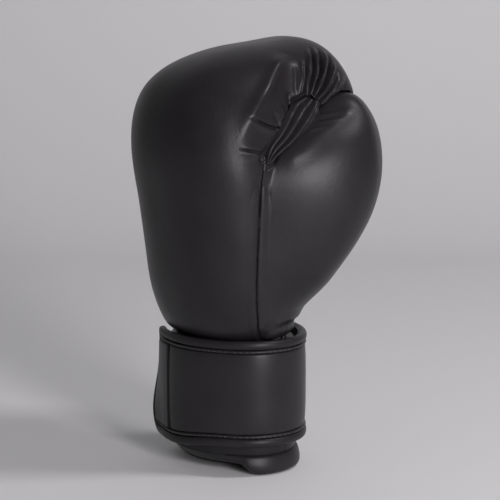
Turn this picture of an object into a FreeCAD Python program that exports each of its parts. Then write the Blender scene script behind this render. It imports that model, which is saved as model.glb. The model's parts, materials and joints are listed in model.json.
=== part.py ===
import FreeCAD, Part
import math
import os

# Left-hand boxing glove, standing on its cuff.  Millimetres, +Z towards the knuckles.
# -X is the back of the hand, +X the palm, -Y the thumb side, +Y the little-finger side.
# The origin is the centre of the wrist opening, in the plane of the cuff's hem.

V = FreeCAD.Vector
UP = V(0, 0, 1)

# ---------------------------------------------------------------- driving dimensions
LEATHER = 1.4           # thickness of the outer leather
LINER = 1.0             # thickness of the lining
CLEAR = 0.3             # gap between pieces that lie on each other
PAD_SPLIT = 0.45        # where the soft outer foam meets the dense inner foam, from outside to inside

MITT_Z = 90.0           # where the mitt stands on the cuff
PALM_X = 14.0           # the palm panel lies in front of this plane
PALM_TOP_Z = 208.0      # and ends under the finger roll
KNUCKLE_PAD_Z = 200.0   # the knuckle foam ends here, on top of the foam behind the hand
SECTION_POINTS = 24     # points on each outline

# The mitt's outline, one section per row from the wrist over the knuckles to the roll's end:
# (back point x, z), (palm point x, z), thumb-side half width, little-finger-side half width, squareness
MITT = [
    ((-38, MITT_Z), (38, MITT_Z), 47, 47, 2.2),
    ((-49, 108), (40, 110), 54, 51, 2.3),
    ((-57, 145), (38, 143), 60, 55, 2.4),
    ((-63, 190), (34, 172), 63, 57, 2.4),
    ((-67, 232), (30, 192), 64, 58.5, 2.4),
    ((-55, 265), (29, 203), 62, 60, 2.4),
    ((-21, 285), (31, 210), 60, 57, 2.3),
    ((24, 293), (37, 214), 58, 54, 2.2),
    ((56, 292.5), (46, 216), 56, 51, 2.1),
    ((76, 267), (57, 217), 50, 46, 2.1),
    ((82, 242), (67, 222), 34, 34, 2.0),
    ((80, 233), (72, 226), 17, 17, 2.0),
]
# The hand's space inside, section by section in step with the outline.
HAND = [
    ((-31, MITT_Z), (31, MITT_Z), 37, 41, 2.1),
    ((-31, 108), (28, 109), 35, 42, 2.1),
    ((-31, 143), (20, 141), 36, 45, 2.2),
    ((-31, 180), (10, 170), 38, 47, 2.3),
    ((-30, 212), (4, 190), 39, 47, 2.3),
    ((-19, 238), (5, 204), 39, 47, 2.3),
    ((2, 254), (11, 213), 38, 46, 2.3),
    ((24, 259), (20, 218), 37, 44, 2.2),
    ((44, 254), (32, 221), 34, 41, 2.2),
    ((57, 242), (44, 224), 28, 34, 2.1),
    ((60, 236), (50, 228), 18, 22, 2.0),
    ((60, 233), (54, 230), 8, 10, 2.0),
]
GRIP_BAR = (15, 199)    # x, z of the grip bar, which runs across the hand
GRIP_BAR_R = 7.0
GRIP_BAR_Y = (-20, 30)

# The thumb, by level: z, centre x, centre y, half thickness, half width on the palm side, and how far
# it spreads towards the seam, 1 where it is sewn in along the seam and less where it stands free
THUMB = [
    (98, 15, -38, 10, 23, 1.0),
    (120, 21, -42, 17, 29, 1.0),
    (150, 30, -46, 29, 38, 1.0),
    (180, 39, -50, 35, 44, 1.0),
    (205, 46, -53, 32.5, 44, 0.96),
    (228, 50, -54, 27, 39, 0.65),
    (246, 52, -53, 19, 28, 0.3),
    (256, 53, -52, 10, 15, 0.15),
    (258, 53, -52, 4.5, 7, 0.07),
]
THUMB_Z = 100.0         # the thumb flexes about a line at this height
THUMB_FREE_Z = 214.0    # above this the thumb stands free of the mitt
SEAM_LOW = V(-15, -52, 105)      # ends of the seam between the mitt and the thumb's panel
SEAM_HIGH = V(-18, -63.7, 219)
SEAM_BULGE = 3.5                 # the seam bows out by this much with the mitt's side
ACROSS = V(0.835, 0.55, 0)       # along the joint between mitt and thumb, towards the palm
OUTWARD = V(0.55, -0.835, 0)     # away from the mitt, square to ACROSS
THUMB_TRAVEL = 6.0      # degrees that the attached thumb can be pulled away
THUMB_BORE = 15.0       # radius of the thumb's own space
THUMB_BORE_START = V(2, -22, 128)
THUMB_BORE_END = V(46, -52, 222)
WEB_PATH = [V(-18, -63, 219), V(3, -61, 235.5), V(23, -57.5, 252)]   # folded web from thumb to finger roll
WEB_R = 4.0
THUMB_INNER_DEPTH = 14.0         # the thumb's inner leather reaches this far from the joint

# The cuff is an oval of four arcs; every layer lies at its own distance from the cuff's leather.
CUFF_HALF_DEPTH = 40.7
CUFF_HALF_WIDTH = 51.7
CUFF_SIDE_R = 33.0
CUFF_FRONT_R = (
    CUFF_HALF_DEPTH ** 2 + (CUFF_HALF_WIDTH - CUFF_SIDE_R) ** 2 - CUFF_SIDE_R ** 2
) / (2 * (CUFF_HALF_DEPTH - CUFF_SIDE_R))
ARC_CHANGE = math.degrees(math.atan2(CUFF_HALF_WIDTH - CUFF_SIDE_R, CUFF_FRONT_R - CUFF_HALF_DEPTH))

HEM_Z = 12.0            # height of the hem
HEM_ROUND = 4.0         # rounding of its lower outer edge
CUFF_TOP_Z = MITT_Z - CLEAR
SHELL = (-1.2, 0.0)     # layers of the cuff, from its leather inwards
CUFF_PAD = (-8.0, -1.4)
CUFF_LINER = (-9.0, -8.2)
HEM = (-10.0, 0.8)
LOOP_TAPE = (0.1, 1.1)
STRAP_LINING = (1.5, 2.3)
ANCHOR_LINING = (0.1, 2.3)
STRAP_FOAM = (2.5, 4.9)
STRAP_LEATHER = (5.1, 6.3)
STRAP_BINDING = (6.4, 7.2)
STRAP_Z = (21.0, 94.0)
BINDING_H = 8.0
TAPE_MARGIN = 9.0       # between a tape and the strap's edges
TAB_CORNER_R = 16.0

# Positions round the cuff are the directions of its outward normal: 0 is the palm, -90 the thumb side.
SLIT = 3.5              # half the slit between the two cuff flaps
FLAP_HINGE = 75.0       # a flap bends about this line, on either side
ANCHOR = (50.0, 18.0)   # the strap is sewn to the little-finger-side flap between these
STRAP_HINGES = [18.0, -45.0, -110.0, -172.0]
STRAP_END = -222.0
LOOP_FIELD = (-224.0, -142.0)
PATCH = (-186.0, -214.0)
GAP_DEG = 0.35          # half the gap between strap segments


# ---------------------------------------------------------------- lofted soft bodies
def section(row, inset):
    """Points of one outline, square to the line from its back point to its palm point."""
    (bx, bz), (px, pz), thumb_half, finger_half, power = row
    back = V(bx, 0, bz)
    palm = V(px, 0, pz)
    centre = (back + palm) * 0.5 + V(0, (finger_half - thumb_half) / 2, 0)
    along = palm - back
    half = max(along.Length / 2 - inset, 1.0)
    along.normalize()
    width = max((thumb_half + finger_half) / 2 - inset, 1.5)
    points = []
    for i in range(SECTION_POINTS):
        a = 2 * math.pi * i / SECTION_POINTS
        r = (abs(math.cos(a)) ** power + abs(math.sin(a)) ** power) ** (-1 / power)
        points.append(centre + along * (half * r * math.cos(a)) + V(0, width * r * math.sin(a), 0))
    return points


def stations(point_lists):
    """Heights of the sections along the body, by the mean distance between neighbours."""
    result = [0.0]
    for low, high in zip(point_lists, point_lists[1:]):
        mean = sum((p - q).Length for p, q in zip(low, high)) / len(low)
        result.append(result[-1] + mean)
    return result


def skinned(point_lists):
    """A smooth closed solid through sections that all have the same number of points."""
    turns = [i / SECTION_POINTS for i in range(SECTION_POINTS + 1)]
    rings = []
    for points in point_lists:
        ring = Part.BSplineCurve()
        ring.interpolate(Points=points, PeriodicFlag=True, Parameters=turns)
        rings.append(ring)
    heights = stations(point_lists)
    poles = []
    for column in zip(*(ring.getPoles() for ring in rings)):
        rib = Part.BSplineCurve()
        rib.interpolate(Points=list(column), Parameters=heights)
        poles.append(rib.getPoles())
    surface = Part.BSplineSurface()
    surface.buildFromPolesMultsKnots(
        poles, rings[0].getMultiplicities(), rib.getMultiplicities(),
        rings[0].getKnots(), rib.getKnots(), True, False, rings[0].Degree, rib.Degree)
    side = surface.toShape()
    caps = [Part.Face(Part.Wire([ring.toShape()])) for ring in (rings[0], rings[-1])]
    shell = Part.makeShell([side] + caps)
    shell.sewShape()
    solid = Part.Solid(Part.Shell(shell.Faces))
    solid.fix(0.01, 0.01, 0.01)
    if solid.Volume < 0:
        solid.reverse()
    return solid


def mix(a, b, share):
    """A row between two rows of sections."""
    def between(p, q):
        return tuple(x + (y - x) * share for x, y in zip(p, q))
    return (between(a[0], b[0]), between(a[1], b[1]), *between(a[2:], b[2:]))


def closed_at_tip(rows, inset):
    """A body through the rows, every wall moved inwards by the inset, the tip as well."""
    step = math.dist(rows[-1][0], rows[-2][0]) + 4
    rows = rows[:-1] + [mix(rows[-1], rows[-2], min(inset / step, 0.6))]
    return skinned([section(r, inset) for r in rows])


def mitt_body(inset=0.0, depth=0.0):
    """The mitt's volume, inset by a distance, or part of the way to the hand's space."""
    return closed_at_tip([mix(a, b, depth) for a, b in zip(MITT, HAND)], inset)


def hand_space(grow=0.0):
    return closed_at_tip(HAND, -grow)


def seam_at(z, bulge=SEAM_BULGE):
    """The point of the seam at this height."""
    share = (z - SEAM_LOW.z) / (SEAM_HIGH.z - SEAM_LOW.z)
    bow = OUTWARD * (bulge * max(0.0, 4 * share * (1 - share)))
    return SEAM_LOW + (SEAM_HIGH - SEAM_LOW) * share + bow


def thumb_ring(row, inset):
    """One level of the thumb: half an ellipse on the palm side, drawn out to the seam on the other."""
    z, cx, cy, thick, wide, reach = row
    centre = V(cx, cy, z)
    to_seam = centre - seam_at(z)
    seam_wide = max(reach * to_seam.dot(ACROSS) - inset, 1.5)
    lean = reach * to_seam.dot(OUTWARD)
    sharpness = 1 + reach ** 3
    thick = max(thick - inset, 1.0)
    wide = max(wide - inset, 1.3)
    centre.z -= inset * max(0, (z - THUMB_FREE_Z) / (THUMB[-1][0] - THUMB_FREE_Z))
    ring = []
    for i in range(SECTION_POINTS):
        a = 2 * math.pi * i / SECTION_POINTS
        out, side = math.cos(a), math.sin(a)
        if side < 0:
            out = math.copysign(abs(out) ** sharpness, out)
            ring.append(centre + OUTWARD * (thick * out - lean * side ** 2) + ACROSS * (seam_wide * side))
        else:
            ring.append(centre + OUTWARD * (thick * out) + ACROSS * (wide * side))
    return ring


def thumb_body(inset=0.0):
    return skinned([thumb_ring(row, inset) for row in THUMB])


def thumb_bore(radius):
    """The slanted space for the thumb, from inside the hand's space to a round end."""
    axis = THUMB_BORE_END - THUMB_BORE_START
    tube = Part.makeCylinder(radius, axis.Length, THUMB_BORE_START, axis)
    return tube.fuse(Part.makeSphere(radius, THUMB_BORE_END)).removeSplitter()


def beyond_joint(gap, low_z, high_z):
    """A block that holds everything on the thumb's side of the joint plane, between two heights."""
    size = 500
    up_joint = SEAM_HIGH - SEAM_LOW
    normal = ACROSS.cross(up_joint)
    normal.normalize()
    if normal.dot(OUTWARD) < 0:
        normal = -normal
    block = Part.makeBox(size, size, size, V(gap, -40, -size / 2))
    turn = FreeCAD.Rotation(normal, ACROSS, UP, "XYZ")
    block.Placement = FreeCAD.Placement(seam_at(THUMB_Z, 0), turn)
    slab = Part.makeBox(2 * size, 2 * size, high_z - low_z, V(-size, -size, low_z))
    return block.common(slab)


def moved_thumb(shape, degrees):
    """A shape turned about the thumb's flex line."""
    turned = shape.copy()
    turned.rotate(seam_at(THUMB_Z, 0), ACROSS, degrees)
    return turned


# ---------------------------------------------------------------- oval layers of the cuff and strap
def arc_centre(direction):
    """Centre and base radius of the cuff's arc whose normal points in this direction, in degrees."""
    d = (direction + 180) % 360 - 180
    if abs(d) <= ARC_CHANGE:
        return V(CUFF_HALF_DEPTH - CUFF_FRONT_R, 0, 0), CUFF_FRONT_R
    if abs(d) >= 180 - ARC_CHANGE:
        return V(CUFF_FRONT_R - CUFF_HALF_DEPTH, 0, 0), CUFF_FRONT_R
    return V(0, math.copysign(CUFF_HALF_WIDTH - CUFF_SIDE_R, d), 0), CUFF_SIDE_R


def rim_point(direction, offset, z, arc_of=None):
    centre, radius = arc_centre(direction if arc_of is None else arc_of)
    a = math.radians(direction)
    return centre + V(math.cos(a), math.sin(a), 0) * (radius + offset) + V(0, 0, z)


def arc_breaks(low, high):
    """Directions from low to high, with the places where the oval changes radius."""
    changes = [turn + sign * edge for turn in (-360, 0, 360) for sign in (-1, 1)
               for edge in (ARC_CHANGE, 180 - ARC_CHANGE)]
    return [low] + sorted({c for c in changes if low < c < high}) + [high]


def rim_edges(low, high, offset, z):
    stops = arc_breaks(low, high)
    edges = []
    for a, b in zip(stops, stops[1:]):
        mid = (a + b) / 2
        ends = [rim_point(d, offset, z, mid) for d in (a, mid, b)]
        edges.append(Part.Arc(*ends).toShape())
    return edges


def band(directions, layer, levels):
    """A curved slab that follows the cuff between two directions."""
    low, high = min(directions), max(directions)
    outer = rim_edges(low, high, layer[1], levels[0])
    inner = rim_edges(low, high, layer[0], levels[0])
    ends = [Part.LineSegment(rim_point(d, layer[0], levels[0]), rim_point(d, layer[1], levels[0])).toShape()
            for d in (low, high)]
    wire = Part.Wire(Part.__sortEdges__(outer + inner + ends))
    return Part.Face(wire).extrude(V(0, 0, levels[1] - levels[0]))


def rounded_end(slab, direction, levels):
    """Rounds the two corners at the end of a slab that runs on from this direction."""
    r = TAB_CORNER_R
    corner = Part.makeBox(r + 2, r + 2, 20, V(-2, levels[1] - r, -8))
    corner = corner.cut(Part.makeCylinder(r, 20, V(r, levels[1] - r, -8)))
    normal = rim_point(direction, 1, 0) - rim_point(direction, 0, 0)
    tangent = UP.cross(normal)
    turn = FreeCAD.Rotation(tangent, UP, normal, "ZXY")
    corner.Placement = FreeCAD.Placement(rim_point(direction, STRAP_LEATHER[0], 0), turn)
    other = corner.mirror(V(0, 0, (levels[0] + levels[1]) / 2), UP)
    return slab.cut(corner).cut(other)


# ---------------------------------------------------------------- the pieces
def save(name, shape):
    solids = [s for s in shape.Solids if s.Volume > 2.0]
    result = solids[0] if len(solids) == 1 else Part.makeCompound(solids)
    result.exportStep(os.path.join("parts", name + ".step"))
    print(f"{name}: {len(solids)} solid(s), {result.Volume / 1000:.1f} cm3, valid {result.isValid()}")


def thumb_sweep(shapes):
    """Room that the mitt leaves for the thumb at rest and over its travel."""
    tool = None
    for shape in shapes:
        for share in (0.0, 0.5, 1.0):
            turned = moved_thumb(shape, share * THUMB_TRAVEL)
            tool = turned if tool is None else tool.fuse(turned)
    return tool


def make_mitt(thumb_room, web):
    """Leather, foam, lining and grip bar of the mitt."""
    leather_inside = mitt_body(LEATHER)
    foam_outside = mitt_body(LEATHER + CLEAR)
    foam_split = mitt_body(LEATHER, PAD_SPLIT)
    foam_split_inside = mitt_body(LEATHER + CLEAR, PAD_SPLIT)
    lined = hand_space(LINER + CLEAR).fuse(thumb_bore(THUMB_BORE + LINER + CLEAR))
    palm = Part.makeBox(80, 160, PALM_TOP_Z - MITT_Z + 1, V(PALM_X, -80, MITT_Z - 1))
    beside_palm = Part.makeBox(80 + CLEAR, 160, PALM_TOP_Z - MITT_Z + 1 + CLEAR,
                               V(PALM_X - CLEAR, -80, MITT_Z - 1))
    bar = Part.makeCylinder(GRIP_BAR_R, GRIP_BAR_Y[1] - GRIP_BAR_Y[0],
                            V(GRIP_BAR[0], GRIP_BAR_Y[0], GRIP_BAR[1]), V(0, 1, 0))
    bar_room = Part.makeCylinder(GRIP_BAR_R + CLEAR, GRIP_BAR_Y[1] - GRIP_BAR_Y[0] + 2 * CLEAR,
                                 V(GRIP_BAR[0], GRIP_BAR_Y[0] - CLEAR, GRIP_BAR[1]), V(0, 1, 0))

    skin = mitt_body().cut(leather_inside).cut(thumb_room).cut(web).cut(lined)
    save("mitt_back_leather", skin.cut(beside_palm))
    save("mitt_palm_leather", skin.common(palm))

    above = Part.makeBox(300, 300, 200, V(-150, -150, KNUCKLE_PAD_Z))
    below = Part.makeBox(300, 300, 200, V(-150, -150, KNUCKLE_PAD_Z - CLEAR - 200))
    outer_foam = foam_outside.cut(foam_split).cut(thumb_room).cut(web).cut(lined).cut(beside_palm)
    outer_foam = outer_foam.cut(bar_room)
    inner_foam = foam_split_inside.cut(lined).cut(thumb_room).cut(web).cut(beside_palm).cut(bar_room)
    save("knuckle_foam_outer", outer_foam.common(above))
    save("knuckle_foam_inner", inner_foam.common(above))
    save("back_foam_outer", outer_foam.common(below))
    save("back_foam_inner", inner_foam.common(below))
    palm_foam = foam_outside.cut(lined).cut(thumb_room).common(palm).cut(bar_room)
    save("palm_foam", palm_foam)
    save("grip_bar", bar)

    lining = hand_space(LINER).fuse(thumb_bore(THUMB_BORE + LINER))
    lining = lining.cut(hand_space()).cut(thumb_bore(THUMB_BORE))
    save("hand_lining", lining.cut(beyond_joint(-CLEAR, THUMB_Z - 30, THUMB_Z + 200)))


def foam_blocks():
    """The three glued blocks of the thumb's foam: past the end of the thumb's space, and on each side."""
    along = THUMB_BORE_END - THUMB_BORE_START
    frame = FreeCAD.Placement(THUMB_BORE_END, FreeCAD.Rotation(OUTWARD, ACROSS, along, "ZXY"))
    blocks = {
        "thumb_foam_tip": Part.makeBox(200, 200, 100, V(-100, -100, CLEAR)),
        "thumb_foam_palm_side": Part.makeBox(200, 100, 200, V(-100, CLEAR / 2, -200)),
        "thumb_foam_seam_side": Part.makeBox(200, 100, 200, V(-100, -100 - CLEAR / 2, -200)),
    }
    for block in blocks.values():
        block.Placement = frame
    return blocks


def make_thumb():
    """Leather, foam and lining of the thumb, which lies on the far side of the joint plane."""
    beside_mitt = beyond_joint(CLEAR, THUMB_Z + CLEAR, THUMB_FREE_Z - CLEAR)
    free = beyond_joint(CLEAR, THUMB_FREE_Z - CLEAR, 300)

    def volume(inset):
        thumb = thumb_body(inset)
        lower = thumb.fuse(mitt_body(inset)).common(beside_mitt)
        return lower.fuse(thumb.common(free)).removeSplitter()

    bore = thumb_bore(THUMB_BORE + LINER + CLEAR)
    skin = volume(0.0).cut(volume(LEATHER)).cut(bore)
    save("thumb_outer_leather", skin.common(beyond_joint(THUMB_INNER_DEPTH, THUMB_Z, 300)))
    save("thumb_inner_leather", skin.cut(beyond_joint(THUMB_INNER_DEPTH - CLEAR, THUMB_Z, 300)))
    foam = volume(LEATHER + CLEAR).cut(bore)
    for name, block in foam_blocks().items():
        save(name, foam.common(block))
    lining = thumb_bore(THUMB_BORE + LINER).cut(thumb_bore(THUMB_BORE))
    save("thumb_lining", lining.common(beyond_joint(CLEAR, THUMB_Z, 300)))


def web_roll(radius):
    """The folded web between the thumb and the finger roll, a round strip along an arc."""
    path = Part.Wire([Part.Arc(*WEB_PATH).toShape()])
    start = path.Edges[0]
    ring = Part.Wire([Part.Circle(WEB_PATH[0], start.tangentAt(start.FirstParameter), radius).toShape()])
    strip = path.makePipeShell([ring], True, True)
    return strip.fuse(Part.makeSphere(radius, WEB_PATH[0])).fuse(Part.makeSphere(radius, WEB_PATH[-1]))


def cuff_layers(prefix, directions):
    """Leather, foam, lining and hem of one stretch of the cuff."""
    save(prefix + "_leather", band(directions, SHELL, (HEM_Z + CLEAR, CUFF_TOP_Z)))
    save(prefix + "_foam", band(directions, CUFF_PAD, (HEM_Z + CLEAR, CUFF_TOP_Z)))
    save(prefix + "_lining", band(directions, CUFF_LINER, (HEM_Z + CLEAR, CUFF_TOP_Z)))
    make_hem(prefix, directions)


def make_cuff():
    edge = FLAP_HINGE
    cuff_layers("cuff_back", (edge + GAP_DEG, 360 - edge - GAP_DEG))
    cuff_layers("little_finger_flap", (SLIT, edge - GAP_DEG))
    cuff_layers("thumb_side_flap", (-edge + GAP_DEG, -SLIT))
    levels = (STRAP_Z[0] + TAPE_MARGIN, STRAP_Z[1] - TAPE_MARGIN)
    save("cuff_loop_tape", band(LOOP_FIELD, LOOP_TAPE, levels))


def strap_segment(name, start, end, is_tab=False):
    """Leather, foam, lining and edge bindings of one stretch of the strap."""
    directions = (start - GAP_DEG, end + (0 if is_tab else GAP_DEG))
    shorter = (directions[0] - 1.5, directions[1] + (3 if is_tab else 1.5))
    low, high = STRAP_Z
    foam_levels = (low + 1.5, high - 1.5)
    leather = band(directions, STRAP_LEATHER, (low, high))
    foam = band(shorter, STRAP_FOAM, foam_levels)
    if is_tab:
        leather = rounded_end(leather, directions[1], (low, high))
        foam = rounded_end(foam, shorter[1], foam_levels)
        tape = band(shorter, STRAP_LINING, (low + TAPE_MARGIN, high - TAPE_MARGIN))
        save("tab_hook_tape", tape)
        save("tab_patch", band(PATCH, STRAP_BINDING, (low + TAPE_MARGIN, high - TAPE_MARGIN)))
        bound = (directions[0], end + 24)
    else:
        layer = ANCHOR_LINING if name == "strap_anchor" else STRAP_LINING
        save(name + "_lining", band(directions, layer, (low + 0.5, high - 0.5)))
        bound = directions
    save(name + "_leather", leather)
    save(name + "_foam", foam)
    edges = [band(bound, STRAP_BINDING, levels)
             for levels in ((low, low + BINDING_H), (high - BINDING_H, high))]
    save(name + "_binding", Part.makeCompound(edges))


def make_strap():
    strap_segment("strap_anchor", *ANCHOR)
    stops = STRAP_HINGES + [STRAP_END]
    names = ["strap_palm", "strap_side", "strap_back", "tab"]
    for name, start, end in zip(names, stops, stops[1:]):
        strap_segment(name, start, end, is_tab=name == "tab")


def make_hem(prefix, directions):
    hem = band(directions, HEM, (0, HEM_Z))
    lower = [e for e in hem.Edges
             if max(v.Z for v in e.Vertexes) < 0.01 and on_rim(e, HEM[1])]
    save(prefix + "_hem", hem.makeFillet(HEM_ROUND, lower))


def on_rim(edge, offset):
    """Whether an edge runs along the oval at this distance from the cuff's leather."""
    middle = edge.valueAt((edge.FirstParameter + edge.LastParameter) / 2)
    direction = rim_direction(middle)
    flat = V(middle.x, middle.y, 0)
    return (flat - rim_point(direction, offset, 0)).Length < 0.05


def rim_direction(point):
    """The direction of the oval's normal that passes through a point."""
    for centre in (arc_centre(0)[0], arc_centre(90)[0], arc_centre(180)[0], arc_centre(-90)[0]):
        direction = math.degrees(math.atan2(point.y - centre.y, point.x - centre.x))
        if (arc_centre(direction)[0] - centre).Length < 0.01:
            return direction
    return 0.0


def main():
    os.makedirs("parts", exist_ok=True)
    make_thumb()
    beside_mitt = beyond_joint(-CLEAR, THUMB_Z, THUMB_FREE_Z)
    free = thumb_body(-0.8).common(beyond_joint(-CLEAR, THUMB_FREE_Z - 3, 300))
    room = thumb_sweep([beside_mitt, free])
    save("thumb_web", web_roll(WEB_R).cut(room))
    make_mitt(room, web_roll(WEB_R + CLEAR))
    make_cuff()
    make_strap()


main()
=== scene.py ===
import json
import math
from contextlib import contextmanager

import bmesh
import bpy
import numpy as np
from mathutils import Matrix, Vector, noise
from mathutils.bvhtree import BVHTree


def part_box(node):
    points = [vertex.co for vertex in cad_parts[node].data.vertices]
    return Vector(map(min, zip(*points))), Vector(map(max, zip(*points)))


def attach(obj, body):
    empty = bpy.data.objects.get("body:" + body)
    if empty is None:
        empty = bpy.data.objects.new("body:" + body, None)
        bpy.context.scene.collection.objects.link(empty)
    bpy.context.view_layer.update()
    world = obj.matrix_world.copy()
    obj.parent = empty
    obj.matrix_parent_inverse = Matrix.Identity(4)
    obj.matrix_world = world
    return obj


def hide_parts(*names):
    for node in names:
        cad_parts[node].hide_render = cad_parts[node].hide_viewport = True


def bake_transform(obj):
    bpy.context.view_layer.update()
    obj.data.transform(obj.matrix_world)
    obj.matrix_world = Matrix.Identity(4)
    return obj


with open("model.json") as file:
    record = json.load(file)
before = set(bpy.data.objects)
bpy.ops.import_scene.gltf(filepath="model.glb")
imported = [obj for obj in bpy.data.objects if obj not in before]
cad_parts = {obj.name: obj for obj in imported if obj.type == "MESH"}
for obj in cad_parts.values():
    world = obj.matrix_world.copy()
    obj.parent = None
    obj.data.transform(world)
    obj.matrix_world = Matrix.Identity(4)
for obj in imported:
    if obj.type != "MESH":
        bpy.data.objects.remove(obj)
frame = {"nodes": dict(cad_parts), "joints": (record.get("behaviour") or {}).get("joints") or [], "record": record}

# A black boxing glove that stands on its cuff.  Lengths up to the camera's section are millimetres,
# in the frame's axes: +Z to the knuckles, -Y the thumb side, +X the palm.  MM turns them to metres.
MM = 0.001
CAMERA_AZIMUTH = math.radians(-35.0)
CAMERA_RIGHT = np.array((math.cos(CAMERA_AZIMUTH), math.sin(CAMERA_AZIMUTH), 0))
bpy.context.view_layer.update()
NODES = frame["nodes"]


def corners(node):
    """Lowest and highest corner of a CAD node, in millimetres."""
    low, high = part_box(node)
    return np.array(low) / MM, np.array(high) / MM


def heights(node):
    """Lowest and highest z of a CAD node."""
    return [corner[2] for corner in corners(node)]


# --- meshes as arrays
def values_of(items, key, width=3, kind=float):
    """One property of all of a mesh's elements, a row for each."""
    flat = np.empty(len(items) * width, kind)
    items.foreach_get(key, flat)
    return flat.reshape(-1, width)


def points_of(obj):
    return values_of(obj.data.vertices, "co") / MM


def put_points(obj, points):
    obj.data.vertices.foreach_set("co", (points * MM).ravel())
    obj.data.update()


def normals_of(obj):
    return values_of(obj.data.vertices, "normal")


def edges_of(obj):
    return values_of(obj.data.edges, "vertices", 2, int)


def face_centres(obj):
    return values_of(obj.data.polygons, "center") / MM


def geometry_of(obj):
    mesh = obj.data
    return [v.co / MM for v in mesh.vertices], [tuple(p.vertices) for p in mesh.polygons]


def added(name, data):
    """A new object in the scene."""
    obj = bpy.data.objects.new(name, data)
    bpy.context.scene.collection.objects.link(obj)
    return obj


def new_piece(name, points, faces):
    """A mesh object from points in millimetres."""
    mesh = bpy.data.meshes.new(name)
    mesh.from_pydata([tuple(p) for p in np.asarray(points) * MM], [], faces)
    mesh.update()
    return added(name, mesh)


def merged(parts):
    """Several (points, faces) pairs as one."""
    points, faces = [], []
    for more_points, more_faces in parts:
        start = len(points)
        points += more_points
        faces += [tuple(start + i for i in face) for face in more_faces]
    return points, faces


def node_geometry(nodes):
    return merged(geometry_of(NODES[node]) for node in nodes)


def apply_modifiers(obj):
    graph = bpy.context.evaluated_depsgraph_get()
    mesh = bpy.data.meshes.new_from_object(obj.evaluated_get(graph))
    old = obj.data
    obj.modifiers.clear()
    obj.data = mesh
    bpy.data.meshes.remove(old)


@contextmanager
def edited(obj):
    """A piece's mesh, open for editing."""
    mesh = bmesh.new()
    mesh.from_mesh(obj.data)
    mesh.faces.ensure_lookup_table()
    yield mesh
    mesh.to_mesh(obj.data)
    mesh.free()
    obj.data.update()


def drop_faces(obj, unwanted):
    """Deletes faces, and the points that no face uses any more."""
    with edited(obj) as mesh:
        faces = [mesh.faces[i] for i in np.flatnonzero(unwanted).tolist()]
        bmesh.ops.delete(mesh, geom=faces, context="FACES")


def nearest(tree, points):
    """For each point, the nearest point of a surface and how far it is."""
    hits, gaps = np.empty((len(points), 3)), np.empty(len(points))
    for i, p in enumerate(points):
        hit = tree.find_nearest(Vector(p))
        hits[i] = hit[0]
        gaps[i] = hit[3]
    return hits, gaps


def neighbour_means(points, edges):
    count = np.bincount(edges.ravel(), minlength=len(points))
    means = np.empty_like(points)
    for axis in range(3):
        values = points[:, axis]
        total = np.bincount(edges[:, 0], values[edges[:, 1]], len(points))
        total += np.bincount(edges[:, 1], values[edges[:, 0]], len(points))
        means[:, axis] = total / np.maximum(count, 1)
    return means


def smoothed(points, edges, rounds, weight=1.0, factor=0.5):
    weight = np.broadcast_to(np.asarray(weight, float), len(points))[:, None]
    for _ in range(rounds):
        points = points + (neighbour_means(points, edges) - points) * weight * factor
    return points


def ramp(values, low, high):
    """0 at low, 1 at high, eased; high may be the smaller."""
    t = np.clip((np.asarray(values, float) - low) / (high - low), 0, 1)
    return t * t * (3 - 2 * t)


def hill(distance, width):
    return np.exp(-((distance / width) ** 2))


# --- smooth paths in space
def curve_through(points, count=80):
    """A smooth curve through the points, evenly sampled (Catmull-Rom)."""
    p = np.array(points, float)
    p = np.vstack([2 * p[0] - p[1], p, 2 * p[-1] - p[-2]])
    samples = []
    for a, b, c, d in zip(p, p[1:], p[2:], p[3:]):
        for t in np.linspace(0, 1, 20, endpoint=False):
            samples.append(0.5 * (2 * b + (c - a) * t + (2 * a - 5 * b + 4 * c - d) * t ** 2
                                  + (3 * b - a - 3 * c + d) * t ** 3))
    samples.append(p[-2])
    samples = np.array(samples)
    length = np.concatenate([[0], np.cumsum(np.linalg.norm(np.diff(samples, axis=0), axis=1))])
    even = np.linspace(0, length[-1], count)
    return np.stack([np.interp(even, length, samples[:, i]) for i in range(3)], axis=1)


def to_path(points, path, reach):
    """Distance of each point to a path, and the share of the path's length where it is nearest."""
    distance = np.full(len(points), 1e3)
    share = np.zeros(len(points))
    low, high = path.min(0) - reach, path.max(0) + reach
    near = np.flatnonzero(np.all((points > low) & (points < high), axis=1))
    for start in range(0, len(near), 4000):
        part = near[start:start + 4000]
        gaps = np.linalg.norm(points[part][:, None, :] - path[None], axis=2)
        best = gaps.argmin(1)
        distance[part] = gaps[np.arange(len(part)), best]
        share[part] = best / (len(path) - 1)
    return distance, share


# --- the two padded bodies
VOXEL = 2.0  # mesh sizes of the leather, the foam and the linings
FOAM_VOXEL = 3.2
LINING_VOXEL = 1.6
MITT_SOLIDS = ["mitt_back_leather", "mitt_palm_leather", "knuckle_foam_outer", "knuckle_foam_inner",
               "back_foam_outer", "back_foam_inner", "palm_foam", "grip_bar", "hand_lining"]
THUMB_FOAM = ["thumb_foam_tip", "thumb_foam_palm_side", "thumb_foam_seam_side"]
THUMB_SOLIDS = ["thumb_outer_leather", "thumb_inner_leather", *THUMB_FOAM, "thumb_lining"]
JOINT = next(j for j in frame["joints"] if j["name"] == "thumb_flex")
JOINT_POINT = np.array(JOINT["pos_m"]) / MM
ACROSS = np.array(JOINT["axis"]) / np.linalg.norm(JOINT["axis"])
UP_SEAM = np.array((-3.0, -11.7, 114.0))
JOINT_NORMAL = np.cross(ACROSS, UP_SEAM)
JOINT_NORMAL /= np.linalg.norm(JOINT_NORMAL) * (1 if JOINT_NORMAL[1] < 0 else -1)
SEAM_TOP = 214.0
SKIN_LOW = 91.5  # above this the skin follows the CAD surface
THUMB_FOOT = 100.3  # where the CAD thumb ends
FOOT_TOP = 112.0  # from here down the thumb's skin is drawn out to the wrist
WALL_GAP = 0.3  # from the joint plane to each side's wall
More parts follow.
